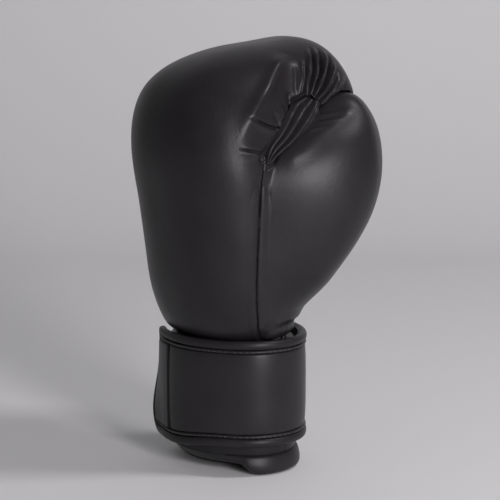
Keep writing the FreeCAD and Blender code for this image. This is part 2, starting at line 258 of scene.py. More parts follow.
SHARP_ANGLE = math.radians(72)


def from_joint(points):
    """Distance of points from the plane between mitt and thumb, positive on the thumb's side."""
    return (points - JOINT_POINT) @ JOINT_NORMAL


def outside_tree(nodes, seam_walls=True):
    """A search tree over the faces of nested CAD solids that look out into the open, with or
    without the walls on either side of the joint plane."""
    points, faces = node_geometry(nodes)
    whole = BVHTree.FromPolygons(points, faces)
    across_joint = Vector(JOINT_NORMAL)
    open_faces = []
    for face in faces:
        a, b, c = (points[i] for i in face[:3])
        normal = (b - a).cross(c - a)
        if normal.length < 1e-9:
            continue
        normal.normalize()
        middle = (a + b + c) / 3
        if not seam_walls and middle.z < SEAM_TOP and abs(normal.dot(across_joint)) > 0.97:
            if abs((middle - Vector(JOINT_POINT)).dot(across_joint)) < 1.0:
                continue
        if whole.ray_cast(middle + normal * 0.02, normal, 5.0)[0] is None:
            open_faces.append(face)
    return BVHTree.FromPolygons(points, open_faces)


def even_quads(obj, size, rounds):
    """Remeshes a piece in even quads of this size, then smooths it."""
    remesh = obj.modifiers.new("even_quads", "REMESH")
    remesh.mode = "VOXEL"
    remesh.voxel_size = size * MM
    apply_modifiers(obj)
    put_points(obj, smoothed(points_of(obj), edges_of(obj), rounds))
    return obj


def remeshed_nodes(name, nodes, size):
    """An even, closed quad mesh over the outside of some nested CAD solids."""
    return even_quads(new_piece(name, *node_geometry(nodes)), size, 4)


def follow(obj, trees, side, reach):
    """Draws points onto the CAD surface, and those close to the seam's corner onto that corner."""
    whole, outer = trees
    points = points_of(obj)
    hits, gaps = nearest(whole, points)
    wall = from_joint(points) - side * WALL_GAP
    outer_gaps = nearest(outer, points)[1]
    z = points[:, 2]
    corner = (np.abs(wall) < reach) & (outer_gaps < reach) & (z < SEAM_TOP) & (z > THUMB_FOOT + 0.7)
    close = (gaps < 1.5 * reach) & ~corner & (z > SKIN_LOW)
    points[close] = hits[close]
    at = points[corner]
    for _ in range(8):
        at = at - np.outer(from_joint(at) - side * WALL_GAP, JOINT_NORMAL)
        at = nearest(outer, at)[0]
    points[corner] = at
    put_points(obj, points)


def subdivided(obj):
    smooth = obj.modifiers.new("smooth", "SUBSURF")
    smooth.levels = smooth.render_levels = 1
    apply_modifiers(obj)


def shade_smooth(obj):
    obj.data.polygons.foreach_set("use_smooth", np.ones(len(obj.data.polygons), bool))
    obj.data.update()


def refined(obj, wanted):
    """Halves the mesh size where the face centres are wanted."""
    chosen = set(np.flatnonzero(wanted(face_centres(obj))).tolist())
    with edited(obj) as mesh:
        edges = {edge for i in chosen for edge in mesh.faces[i].edges}
        bmesh.ops.subdivide_edges(mesh, edges=list(edges), cuts=1, use_grid_fill=True)


def leather_body(name, solids, side):
    """The outside of one padded body, with a soft corner where it turns in at the seam."""
    obj = remeshed_nodes(name, solids, VOXEL)
    trees = outside_tree(solids), outside_tree(solids, seam_walls=False)
    follow(obj, trees, side, 1.3)
    subdivided(obj)
    follow(obj, trees, side, 0.7)
    points = points_of(obj)
    near_seam = 1 - ramp(np.abs(from_joint(points)), 1.5, 4.0)
    put_points(obj, smoothed(points, edges_of(obj), 4, np.maximum(near_seam, 0.3)))
    return obj


def side_point(tree, x, z):
    """The point on the thumb side of a body at this x and z."""
    hit = tree.ray_cast(Vector((x, -200, z)), Vector((0, 1, 0)))[0]
    return np.array(hit) if hit is not None else np.array((x, -60.0, z))


def side_path(tree, places):
    return curve_through([side_point(tree, x, z) for x, z in places])


def stroke(points, path, width, height, fade=(0.15, 0.15)):
    """A ridge, or with a negative height a groove, along a path, fading at its two ends."""
    distance, share = to_path(points, path, 4 * width)
    ends = ramp(share, 0, fade[0] + 1e-6) * ramp(share, 1, 1 - fade[1] - 1e-6)
    return height * hill(distance, width) * ends


def crease(points, path, width, depth, fade=(0.3, 0.1)):
    """A narrow fold with puffed lips."""
    lips = stroke(points, path, 3.2 * width, 0.45 * depth, fade)
    return stroke(points, path, width, -depth, fade) + lips


def dent(points, centre, size, depth):
    """A round hollow at a point."""
    return -depth * hill(np.linalg.norm((points - centre) / size, axis=1), 1.0)


# Marks on the thumb side of the mitt's roll, at (x, z) places.  Pleats and web meet at a knot.
CREST = [(19, 285), (6, 278), (-5, 268), (-12, 261), (-19, 254),
         (-25, 247), (-30, 240), (-35, 230), (-38, 218)]
CREST_STROKES = [(9.0, 1.5, (0.2, 0.3)), (4.6, 2.4, (0.2, 0.5))]  # width, height, fades
HOLLOWS = [  # middle, size, depth
    ((9, 262), (15, 22, 18), 6.5), ((14, 252), (9, 14, 8), 3.0), ((-3, 240), (8, 12, 7), 2.0),
]
CREASES = [  # path towards the knot, width, depth, fades
    ([(-30, 245), (-20, 241), (-12, 238), (-3, 236), (1, 235)], 1.1, 3.6, (0.4, 0.05)),
    ([(-38, 224.5), (-29, 223), (-23, 222), (-14, 218.5)], 1.0, 3.0, (0.4, 0.05)),
    ([(-10, 249), (-5, 243), (-1, 238)], 2.2, 1.5, (0.5, 0.3)),
    ([(1, 253), (5, 249), (6, 244), (4, 240)], 2.2, 1.4, (0.4, 0.3)),
]
KNOT_X = 19  # pleats that start beyond this run into the knot
PLEAT_SCALE = 1.35
PLEAT_RIDGES = [  # path from the knot outwards, width, height
    ([(22, 257), (23, 266), (27, 274), (32, 281), (38, 288)], 1.7, 1.5),
    ([(24, 257), (29, 267), (33, 274), (37, 281), (44, 289)], 1.3, 1.8),
    ([(26, 255), (32, 265), (38, 272), (44, 280), (51, 287)], 1.4, 2.0),
    ([(28, 254), (37, 262), (43, 268), (48, 274), (54, 279)], 1.4, 1.9),
    ([(32, 251), (41, 256), (47, 260), (52, 265), (58, 269)], 1.8, 1.6),
    ([(36, 249), (45, 252), (53, 256), (60, 261)], 1.8, 1.2),
    ([(19, 259), (21, 267), (23, 275), (25, 282)], 1.6, 0.7),
]
PLEAT_GROOVES = [
    ([(23, 257), (26, 267), (30, 274), (34, 281), (41, 289)], 1.0, -1.6),
    ([(25, 256), (30, 266), (35, 272), (40, 280), (47, 288)], 1.0, -2.0),
    ([(27, 255), (35, 263), (40, 270), (46, 277), (53, 284)], 1.1, -2.2),
    ([(30, 252), (41, 261), (47, 267), (53, 274)], 1.2, -2.0),
    ([(33, 250), (44, 255), (51, 259), (57, 265)], 1.2, -1.8),
    ([(20, 257), (21, 265), (24, 273), (27, 281)], 1.1, -1.1),
    ([(17, 256), (16, 264), (17, 272), (18, 279)], 1.6, -0.8),
    ([(10, 264), (11, 256), (11, 250)], 2.4, -1.0),
]


def mitt_features(points, tree):
    """Crest, hollow, creases and gathered pleats on the thumb side of the mitt's roll."""
    def on_side(places):
        return side_path(tree, places)

    rise = np.zeros(len(points))
    for shape in CREST_STROKES:
        rise += stroke(points, on_side(CREST), *shape)
    for (x, z), size, depth in HOLLOWS:
        rise += dent(points, side_point(tree, x, z), np.array(size), depth)
    for places, *shape in CREASES:
        rise += crease(points, on_side(places), *shape)
    for places, width, height in PLEAT_RIDGES + PLEAT_GROOVES:
        fades = (0.02 if places[0][0] > KNOT_X else 0.4, 0.35)
        rise += stroke(points, on_side(places), width, PLEAT_SCALE * height, fades)
    return rise


def palm_seam(points):
    """Distance from the edge of the palm panel, negative on the panel."""
    return np.maximum(PALM_X - points[:, 0], points[:, 2] - PALM_TOP)


def unevenness(points, scale, seed):
    """A slow, smooth variation over the surface, about -1 to 1."""
    offset = Vector((seed * 17.3, seed * 5.1, seed * 9.7))
    return np.array([noise.noise(Vector(p) / scale + offset) for p in points])


def drawn_in_at_wrist(points):
    """The lower rim turns in where it is sewn to the cuff, and on its outer side the foot of the
    thumb narrows quickly."""
    rim = 1 - ramp(points[:, 2], 90, 100)
    out = points * (1, 1, 0)
    out /= np.maximum(np.linalg.norm(out, axis=1), 1)[:, None]
    foot = ramp(points @ CAMERA_RIGHT, 22, 44) * (1 - ramp(points[:, 2], 106, 132))
    return -3.2 * (rim ** 2)[:, None] * out - 6.0 * foot[:, None] * CAMERA_RIGHT


def seam_width(z):
    """The turned-in edge tapers towards the seam's top."""
    return 1 - 0.5 * ramp(z, 180, 213)


def sunk_at_seam(points, side, tree):
    """Keeps a body's skin below the seam's turned-in edge, which is a piece of its own."""
    z = points[:, 2]
    inside = np.abs(from_joint(points) * side - WALL_GAP) / seam_width(z)
    depth = 0.8 * (1 - ramp(inside, 2.0, 6.0)) * (1 - ramp(z, 190, 213)) * ramp(z, 91, 94)
    moved = points.copy()
    for i in np.flatnonzero(depth > 0.01):
        _, normal, _, gap = tree.find_nearest(points[i])
        if gap < 4:
            moved[i] -= np.array(normal) * depth[i]
    return moved


def near_seam_top(points):
    return hill(np.linalg.norm(points - (-15, -61, 216), axis=1), 8)


EDGE_PROFILE = [  # distance from the wall, height over the skin; far edge first
    (11, -0.9), (9, -0.5), (7.5, -0.22), (6, -0.06), (4.5, 0.0), (3.2, 0.04),
    (2.2, 0.05), (1.5, 0.0), (1.0, -0.1), (0.6, -0.3), (0.3, -0.6), (0.12, -1.0),
    (0, -1.6), (0, -3.6), (1.5, -3.4), (4, -1.5), (8, -1.3), (11, -1.1),
]
SEAM_STEP = 1.5
FAR_EDGE = np.array([inside >= 6 for inside, _ in EDGE_PROFILE])


def seam_edge(name, tree, side, toward, unevenness_scale, seed):
    """The leather's turned-in edge on one side of the seam, at its outer or its palm-side end."""
    levels = np.arange(93.0, SEAM_TOP + 1, SEAM_STEP)
    step_up = UP_SEAM * SEAM_STEP / UP_SEAM[2]
    hits, normals = [], []
    for z in levels:
        middle = JOINT_POINT + UP_SEAM * (z - JOINT_POINT[2]) / UP_SEAM[2]
        row, outs = [], []
        for inside, _ in EDGE_PROFILE:
            away = WALL_GAP + 0.02 + inside * float(seam_width(z))
            start = middle + JOINT_NORMAL * side * away - toward * ACROSS * 150
            place, normal = tree.ray_cast(Vector(start), Vector(toward * ACROSS))[:2]
            if place is None:
                guess = hits[-1][len(row)] + step_up if hits else start
                place, normal = tree.find_nearest(guess)[:2]
            row.append(np.array(place))
            outs.append(np.array(normal))
        hits.append(row)
        normals.append(np.mean(outs, axis=0))
    hits, normals = np.array(hits), np.array(normals)
    for _ in range(4):
        for rows in (hits, normals):
            rows[1:-1] = (rows[:-2] + 2 * rows[1:-1] + rows[2:]) / 4
    normals /= np.linalg.norm(normals, axis=1)[:, None]
    if np.mean(normals @ ACROSS) * toward > 0:
        normals = -normals
    rings = []
    for z, row, out in zip(levels, hits, normals):
        depth = np.array([h for _, h in EDGE_PROFILE]) - 1.1 * float(ramp(z, 188, 213))
        depth -= FAR_EDGE * 0.5 * float(ramp(z, 116, 100))
        rise = depth + 0.32 * unevenness(row, unevenness_scale, seed)
        rings.append(row + out * rise[:, None] + drawn_in_at_wrist(row))
    return flat_ended(name, [rings])


def make_seam_edges():
    """Both sides of the seam between mitt and thumb, on the outside and on the palm side."""
    tree = outside_tree(MITT_SOLIDS + THUMB_SOLIDS)
    for body, side, scale, seed in (("mitt", -1, 28, 1), ("thumb", 1, 26, 2)):
        for end, toward in (("outer", 1), ("palm", -1)):
            edge = seam_edge(f"seam_edge_{body}_{end}", tree, side, toward, scale, seed)
            finish_piece(edge, "leather" if body == "mitt" else "thumb_leather")
            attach(edge, body)


def make_mitt():
    obj = leather_body("mitt_leather", MITT_SOLIDS, -1)
    tree = outside_tree(MITT_SOLIDS)
    refined(obj, lambda c: (c[:, 1] < -34) & (c[:, 0] > -42) & (c[:, 0] < 66) & (c[:, 2] > 208))
    points = points_of(obj)
    edges = edges_of(obj)
    points = smoothed(points, edges, 2, 0.5)
    put_points(obj, points)
    normals = normals_of(obj)
    seam = palm_seam(points)
    outside = points[:, 2] > 92
    rise = mitt_features(points, tree)
    rise += np.where(outside, stroke_across(seam), 0)
    rise += 0.35 * unevenness(points, 28, 1)
    points = points + normals * rise[:, None] + drawn_in_at_wrist(points)
    hidden = (from_joint(points) > 0.2) & (points[:, 2] < THUMB_FOOT + 1.2)
    points -= normals * np.where(hidden, 2.0, 0)[:, None]
    points = smoothed(points, edges, 1, 0.35)
    points = sunk_at_seam(points, -1, outside_tree(MITT_SOLIDS + THUMB_SOLIDS))
    points = smoothed(points, edges, 14, near_seam_top(points))
    put_points(obj, points)
    return obj


def stroke_across(distance, width=0.9, depth=1.1):
    """The profile of a sewn seam at a distance from it: a groove between two soft lips."""
    return -depth * hill(distance, width) + 0.35 * hill(np.abs(distance) - 2.6, 1.4)


THUMB_CREST = [(-6, 214), (8, 222), (17, 228), (27, 234), (36, 239), (44, 244), (52, 251)]
THUMB_WRINKLES = [
    [(26.4, 242.9), (36, 244.6), (46, 245.9)], [(23.2, 238.4), (32, 239.9), (41.9, 240.8)],
    [(15, 233), (22, 235), (29, 236.5)],
]


def make_thumb():
    obj = leather_body("thumb_leather", THUMB_SOLIDS, 1)
    points = points_of(obj)
    low = points[:, 2] < FOOT_TOP
    outer = from_joint(points) > 0.6
    stretch = (FOOT_TOP - SKIN_LOW) / (FOOT_TOP - THUMB_FOOT)
    stretched = FOOT_TOP - (FOOT_TOP - points[:, 2]) * stretch
    points[:, 2] = np.where(low & outer, stretched, points[:, 2])
    skin = outside_tree(MITT_SOLIDS + THUMB_SOLIDS)
    hits, gaps = nearest(skin, points)
    drawn = low & outer & (gaps < 4) & (points[:, 2] < 104)
    points[drawn] = hits[drawn]
    edges = edges_of(obj)
    points = smoothed(points, edges, 8, np.where(low, 0.9, 0.0))
    put_points(obj, points)
    normals = normals_of(obj)
    tree = outside_tree(THUMB_SOLIDS)
    rise = stroke(points, side_path(tree, THUMB_CREST), 5.0, 1.2)
    for places in THUMB_WRINKLES:
        rise += stroke(points, side_path(tree, places), 1.7, 0.9, (0.3, 0.5))
    rise += 0.3 * unevenness(points, 26, 2)
    points = points + normals * rise[:, None] + drawn_in_at_wrist(points)
    points = sunk_at_seam(points, 1, skin)
    points = smoothed(points, edges, 14, near_seam_top(points))
    put_points(obj, points)
    return obj


PALM_X = corners("mitt_palm_leather")[0][0]
PALM_TOP = corners("mitt_palm_leather")[1][2]


def foam_under(obj, name, gap=4.2):
    """The foam that fills a leather body, a little inside it."""
    foam = even_quads(added(name, obj.data.copy()), FOAM_VOXEL, 3)
    points = points_of(foam) - gap * normals_of(foam)
    put_points(foam, smoothed(points, edges_of(foam), 2))
    return foam


# --- the folded web under the finger roll
WEB_UPPER = [(-16, 214), (-14.5, 220), (-12, 226), (-7, 232),
             (-1, 239), (5, 246), (13, 252), (21, 256)]
WEB_LOWER = [(-14, 213), (-10, 215.5), (-2, 219), (9, 224),
             (18, 230), (25, 236), (30, 244), (30, 252)]
WEB_FOLDS = [  # place across the web, width, height
    (0.13, 0.075, 2.4), (0.26, 0.05, -1.6), (0.38, 0.075, 1.7),
    (0.50, 0.05, -1.4), (0.62, 0.065, 2.9),
]


def make_web(tree):
    """A gusset of soft leather folded lengthways, from the seam's top to the knot of the pleats."""
    along, across = 90, 72
    upper = curve_through([(x, side_point(tree, x, z)[1] + 0.5, z) for x, z in WEB_UPPER], along)
    lower = curve_through([(x, -61.5, z) for x, z in WEB_LOWER], along)
    u = np.linspace(0, 1, along)[:, None]
    v = np.linspace(0, 1, across)[None, :]
    height = sum(h * hill(v - place - 0.03 * np.sin(7 * u), width) for place, width, h in WEB_FOLDS)
    height = height * (0.35 + 0.65 * np.sin(np.pi * np.clip(u, 0.02, 0.98)) ** 0.5)
    height = height + 1.5 * np.sin(np.pi * v) - 3.0 * ramp(v, 0.74, 1.0)
    height = height + 0.35 * np.sin(u * 46 + 5 * v) * hill(v - 0.85, 0.15)
    base = upper[:, None, :] * (1 - v[..., None]) + lower[:, None, :] * v[..., None]
    points = base + height[..., None] * np.array((0.1, -0.98, 0.15))
    starts = [i * across + j for i in range(along - 1) for j in range(across - 1)]
    faces = [(a, a + 1, a + across + 1, a + across) for a in starts]
    web = new_piece("thumb_web_folds", points.reshape(-1, 3), faces)
    thicken(web, 1.2)
    return web


def thicken(obj, amount):
    solid = obj.modifiers.new("thickness", "SOLIDIFY")
    solid.thickness = amount * MM
    solid.offset = 0
    apply_modifiers(obj)
    face_outwards(obj)


def face_outwards(obj):
    with edited(obj) as mesh:
        bmesh.ops.recalc_face_normals(mesh, faces=mesh.faces)


# --- swept pieces round the oval cuff
HALF_DEPTH = -corners("cuff_back_leather")[0][0]
HALF_WIDTH = corners("cuff_back_leather")[1][1]
SIDE_R = 33.0
FRONT_R = (HALF_DEPTH ** 2 + (HALF_WIDTH - SIDE_R) ** 2 - SIDE_R ** 2) / (2 * (HALF_DEPTH - SIDE_R))
ARC_CHANGE = math.degrees(math.atan2(HALF_WIDTH - SIDE_R, FRONT_R - HALF_DEPTH))
STRAP_LOW, STRAP_HIGH = heights("strap_back_leather")
CUFF_LOW, CUFF_HIGH = heights("cuff_back_leather")
STRAP_HINGES = (18.0, -45.0, -110.0, -172.0)
STRAP_START = 50.0
STRAP_END = -222.0
SLIT = 3.5
FLAP_HINGE = 75.0


def oval(direction, offset, z):
    """A point at an offset from the cuff's leather; direction is its outward normal's."""
    d = (direction + 180) % 360 - 180
    if abs(d) <= ARC_CHANGE:
        centre, radius = (HALF_DEPTH - FRONT_R, 0), FRONT_R
    elif abs(d) >= 180 - ARC_CHANGE:
        centre, radius = (FRONT_R - HALF_DEPTH, 0), FRONT_R
    else:
        centre, radius = (0, math.copysign(HALF_WIDTH - SIDE_R, d)), SIDE_R
    a = math.radians(direction)
    reach = radius + offset
    return np.array((centre[0] + reach * math.cos(a), centre[1] + reach * math.sin(a), z))


def directions_between(start, end, step=1.2):
    return np.linspace(start, end, max(2, int(abs(end - start) / step) + 1))


def closed_form(rings):
    """Points and faces through outlines that all have the same number of points."""
    count, last = len(rings[0]), len(rings) - 1
    points = [p for ring in rings for p in ring]
    around = list(zip(range(count), [*range(1, count), 0]))
    faces = [(a + j, a + count + j, a + count + k, a + k)
             for a in range(0, last * count, count) for j, k in around]
    faces.append(tuple(range(count)))
    faces.append(tuple(reversed(range(last * count, len(points)))))
    return points, faces


def closed_piece(name, forms):
    """One object from several closed forms, each given by its outlines."""
    obj = new_piece(name, *merged(closed_form(rings) for rings in forms))
    face_outwards(obj)
    shade_smooth(obj)
    return obj


def flat_ended(name, forms):
    """A closed piece whose flat end faces don't bend the light on its sides."""
    obj = closed_piece(name, forms)
    obj.data.set_sharp_from_angle(angle=SHARP_ANGLE)
    return obj


def swept(name, directions, profile):
    """A piece round the cuff: profile(direction) gives its outline as (offset, z) pairs."""
    return flat_ended(name, [[[oval(d, o, z) for o, z in profile(d)] for d in directions]])


def rounded_profile(low, high, inner, outer, radius=1.6, rows=40, puff=lambda z: 0.0):
    """The outline of a padded slab between two heights and two offsets; puff(z) swells its
    outer side."""
    r = min(radius, (outer - inner) / 2 - 0.05, (high - low) / 2 - 0.05)
    corner = [(math.cos(a), math.sin(a)) for a in np.linspace(0, math.pi / 2, 5)]
    top, foot = high - r, low + r
    outline = [(outer + puff(z), z) for z in np.linspace(foot, top, rows)]
    outline += [(outer - r + (r + puff(top)) * c, top + r * s) for c, s in corner[1:]]
    outline += [(inner + r - r * s, top + r * c) for c, s in corner]
    outline += [(inner, z) for z in np.linspace(top, foot, 6)[1:]]
    outline += [(inner + r - r * c, foot - r * s) for c, s in corner[1:]]
    outline += [(outer - r + (r + puff(foot)) * s, foot - r * c) for c, s in corner[:-1]]
    return outline


# --- the wrist strap
ROLL_H = 6.0  # height of the rolled edge
STITCH_BAND = 2.6  # height of the stitched band between the roll and the panel
STITCH_LINE = ROLL_H + STITCH_BAND / 2
BAND_LAYER = (2.4, 6.5)  # offsets from the cuff's leather, inside and outside
ROLL_LAYER = (1.9, 7.2)
STITCH_OFFSET = 6.45
TAB_EDGE = -190.0  # the patch begins here
TAB_CORNER = 16.0  # radius of the tab's corners
MM_PER_DEGREE = math.radians(1) * (FRONT_R + 5)


def strap_point(direction, z, offset):
    """A point of the strap.  Its end stands away from the cuff and hangs a little lower."""
    height = (z - STRAP_LOW) / (STRAP_HIGH - STRAP_LOW)
    lift = 5.5 * float(ramp(direction, -200, STRAP_END)) * float(hill(z - 36, 24))
    lift += 0.8 * float(ramp(direction, -188, -205))
    sag = 5.0 * float(ramp(direction, -145, -190)) * (1 - height)
    return oval(direction, offset + lift, z - sag)


def outward(direction):
    return np.array((math.cos(math.radians(direction)), math.sin(math.radians(direction)), 0))


def edge_paths(start, end, inset):
    """Paths inside the strap's edge, as (direction, z); a single path round the tab's end."""
    low, high = STRAP_LOW + inset, STRAP_HIGH - inset
    if end > STRAP_END:
        return [[(d, z) for d in directions_between(start, end)] for z in (low, high)]
    centre = end + TAB_CORNER / MM_PER_DEGREE
    r = TAB_CORNER - inset
    turn = np.linspace(0, math.pi / 2, 9)[1:]
    upper = [(d, high) for d in directions_between(start, centre)]
    upper += [(centre - r * math.sin(t) / MM_PER_DEGREE, STRAP_HIGH - TAB_CORNER + r * math.cos(t))
              for t in turn]
    middle = (STRAP_LOW + STRAP_HIGH) / 2
    end_line = [(upper[-1][0], z) for z in np.arange(upper[-1][1] - 2, middle, -2)]
    half = upper + end_line
    return [half + [(d, 2 * middle - z) for d, z in reversed(half)]]


def circle(sides):
    return np.linspace(0, 2 * math.pi, sides, endpoint=False)


def tube(path, layer, half, sides=16, power=2.6):
    """Outlines of a rounded strip along a path on the strap, of this half width, in a layer."""
    inner, outer = layer
    middle, thick = (inner + outer) / 2, (outer - inner) / 2
    centres = np.array([strap_point(d, z, middle) for d, z in path])
    rings = []
    for centre, tangent, (d, _) in zip(centres, np.gradient(centres, axis=0), path):
        out = outward(d)
        side = np.cross(tangent, out)
        side /= np.linalg.norm(side)
        ring = []
        for a in circle(sides):
            c, q = math.cos(a), math.sin(a)
            reach = (abs(c) ** power + abs(q) ** power) ** (-1 / power)
            ring.append(centre + out * thick * reach * c + side * half * reach * q)
        rings.append(ring)
    return rings


def panel_margin(direction):
    """How much lower the panel gets where its end is rounded."""
    inset = ROLL_H + STITCH_BAND
    from_end = (direction - STRAP_END) * MM_PER_DEGREE - inset
    r = TAB_CORNER - inset
    short = max(0.0, r - from_end)
    return r - math.sqrt(max(0.0, r * r - short * short))


def strap_slab(name, start, end, low, high, inner, outer, **shape):
    rings = []
    for d in directions_between(start, end, 0.8):
        margin = panel_margin(d)
        outline = rounded_profile(low + margin, high - margin, inner(d), outer(d), **shape)
        rings.append([strap_point(d, z, o) for o, z in outline])
    return flat_ended(name, [rings])


def panel_puff(z):
    """How far the panel swells between its stitched edges."""
    middle = (STRAP_LOW + STRAP_HIGH) / 2
    half = (STRAP_HIGH - STRAP_LOW) / 2 - ROLL_H - STITCH_BAND
    return 0.8 * max(0.0, 1 - abs((z - middle) / half) ** 4)


def panel_end(end):
    return max(end, STRAP_END + (ROLL_H + STITCH_BAND + 0.2) / MM_PER_DEGREE)


def strap_panel(name, start, end):
    edge = ROLL_H + STITCH_BAND
    return strap_slab(name, start, panel_end(end), STRAP_LOW + edge, STRAP_HIGH - edge,
                      lambda d: 2.4, lambda d: 5.9 - 1.1 * float(hill(d - TAB_EDGE, 1.0)),
                      radius=1.2, rows=44, puff=panel_puff)


def strap_lining(name, start, end):
    return strap_slab(name, start, panel_end(end), STRAP_LOW + 1.5, STRAP_HIGH - 1.0,
                      lambda d: 1.15 + 1.2 * float(ramp(d, -170, -174)), lambda d: 2.55,
                      radius=0.35, rows=30)


def strap_bands(name, start, end):
    """The stitched bands beside the rolled edges, each between two grooves."""
    paths = edge_paths(start, end, STITCH_LINE)
    return flat_ended(name, [tube(path, BAND_LAYER, STITCH_BAND / 2 - 0.12) for path in paths])


def strap_rolls(name, start, end):
    paths = edge_paths(start, end, ROLL_H / 2)
    return flat_ended(name, [tube(path, ROLL_LAYER, ROLL_H / 2, 20, 2.4) for path in paths])


def stitch_row(places, length=2.6, pitch=4.0, thickness=0.3):
    """Outlines of thread stitches along a path; each place is (point, outward direction)."""
    points, outs = (np.array(values) for values in zip(*places))
    run = np.concatenate([[0], np.cumsum(np.linalg.norm(np.diff(points, axis=0), axis=1))])

    def on_path(s):
        return [np.array([np.interp(s, run, values[:, i]) for i in range(3)])
                for values in (points, outs)]
    row = []
    for centre in np.arange(pitch / 2, run[-1] - length / 2, pitch):
        rings = []
        for share in np.linspace(-1, 1, 6):
            p, out = on_path(centre + share * length / 2)
            tangent = on_path(centre + share * length / 2 + 0.1)[0] - p
            side = np.cross(tangent / max(np.linalg.norm(tangent), 1e-9), out)
            p = p + out * (0.25 - 0.55 * share ** 2)
            r = thickness * math.sqrt(max(0.02, 1 - abs(share) ** 3))
            rings.append([p + r * (math.cos(a) * side + math.sin(a) * out) for a in circle(6)])
        row.append(rings)
    return row


def strap_stitches(name, start, end):
    stitches = []
    for path in edge_paths(start, end, STITCH_LINE):
        stitches += stitch_row([(strap_point(d, z, STITCH_OFFSET), outward(d)) for d, z in path])
    return closed_piece(name, stitches)


STRAP_SPANS = [  # name, from, to, the bodies it joins, hinge, its CAD pieces
    ("anchor", STRAP_START, -13.0, "little_finger_flap", "strap_palm", STRAP_HINGES[0],
     ("strap_anchor", "strap_palm")),
    ("palm", -13.0, -77.0, "strap_palm", "strap_side", STRAP_HINGES[1], ("strap_side",)),
    ("side", -77.0, -141.0, "strap_side", "strap_back", STRAP_HINGES[2], ("strap_back",)),
    ("tab", -141.0, STRAP_END, "strap_back", "tab", STRAP_HINGES[3], ("tab",)),
]
STRAP_MAKERS = [  # suffix, maker, material slot, the CAD layers it stands for
    ("panel", strap_panel, "strap_leather", ("leather", "foam")),
    ("bands", strap_bands, "strap_leather", ()),
    ("rolls", strap_rolls, "binding", ("binding",)),
    ("lining", strap_lining, "strap_lining", ("lining",)),
    ("stitches", strap_stitches, "thread", ()),
]


def make_strap():
    """The strap in four stretches, each with a hinge in its middle."""
    for span, start, end, near_body, far_body, hinge, stands_for in STRAP_SPANS:
        for suffix, maker, slot, layers in STRAP_MAKERS:
            obj = maker(f"strap_{span}_{suffix}", start, end)
            nodes = [f"{node}_{layer}" for node in stands_for for layer in layers]
            nodes = [node for node in nodes if node in NODES]
            finish_piece(obj, slot, nodes)
            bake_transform(obj)


def make_tab_tapes():
    """The hook tape under the tab and the plain patch on it."""
    low, high = heights("tab_hook_tape")
    tape = strap_slab("tab_hook_tape_piece", -174.5, -212, low, high,
                      lambda d: 1.5, lambda d: 2.4, radius=0.4, rows=24)
    patch = strap_slab("tab_patch_piece", TAB_EDGE - 1.3, -211.5, low, high,
                       lambda d: 5.6, lambda d: 6.9, radius=0.6, rows=24, puff=lambda z: 0.3)
    for obj, slot in ((tape, "hook_tape"), (patch, "patch")):
        finish_piece(obj, slot, ["tab_" + slot])
        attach(obj, "tab")


# --- the cuff
HEM_HIGH = CUFF_LOW + 2.2


def cuff_pad(name, start, end):
    """The padded wall of one stretch of the cuff, drawn in a little at its ends and edges."""
    middle, half = (CUFF_LOW + CUFF_HIGH) / 2, (CUFF_HIGH - CUFF_LOW) / 2

    def profile(d):
        near_end = min(abs(d - start), abs(d - end))
        puff = 0.6 * float(ramp(near_end, 0, 6))
        return rounded_profile(CUFF_LOW, CUFF_HIGH, -7.9, -0.75, radius=2.0, rows=36,
                               puff=lambda z: puff * max(0.0, 1 - abs((z - middle) / half) ** 6))
    return swept(name, directions_between(start, end), profile)


def cuff_lining(name, start, end):
    """The quilted lining inside the cuff."""
    def profile(d):
        quilt = 0.5 * abs(math.sin(math.radians(d * 15)))
        return rounded_profile(CUFF_LOW, CUFF_HIGH, -8.9 - quilt, -8.1, radius=0.3, rows=30)
    return swept(name, directions_between(start, end), profile)


def hem_shape(direction, z_share):
    """Offset of the hem's outside; in front it is a full lobe folded over the part behind."""
    if direction > 0:
        lobe = 0.0
    else:
        edge = -146 + 21 * (1 - z_share) + 3 * math.sin(6 * z_share)
        width = 2.5 + 3.5 * (1 - z_share)
        lobe = float(ramp(direction, edge - width, edge + width)) * float(ramp(direction, -22, -40))
    around = direction % 360
    tucked = float(ramp(around, 236, 214)) * float(ramp(around, 110, 145))
    bulge = math.sin(math.pi * (0.22 + 0.78 * z_share)) ** 0.8
    drawn_in = 6.5 * tucked * (1 - z_share) ** 1.2 + 1.2 * (1 - lobe) * (1 - z_share)
    return 0.2 + bulge * (0.4 + 2.2 * lobe) - drawn_in


def hem_bottom(direction):
    """The hem is shorter behind the lobe."""
    around = direction % 360
    return 6.0 * float(ramp(around, 249, 222)) * float(ramp(around, 100, 130))


def hem_roll(name, start, end):
    """The soft rolled hem of one stretch of the cuff."""
    def profile(d):
        low, high, outline = hem_bottom(d), HEM_HIGH, []
        for share in np.linspace(0, 1, 22):
            z = low + (high - low) * share
            foot, rim = max(0.0, 1 - share / 0.22), max(0.0, (share - 0.85) / 0.15)
            outline.append((hem_shape(d, share) - 3.2 * foot ** 2 - 1.6 * rim ** 2, z))
        for share in np.linspace(1, 0, 12):
            z = low + (high - low) * share
            corner = 2.4 * max(0.0, 1 - share / 0.25) ** 2
            outline.append((-9.6 + corner, z))
        return outline
    return swept(name, directions_between(start, end, 0.8), profile)


HEM_STRETCHES = [  # name, from, to, the flap it belongs to and that flap's hinge
    ("hem_thumb_side", -150.0, -SLIT, "thumb_side_flap", -FLAP_HINGE),
    ("hem_little_finger_side", SLIT, 210.0, "little_finger_flap", FLAP_HINGE),
]


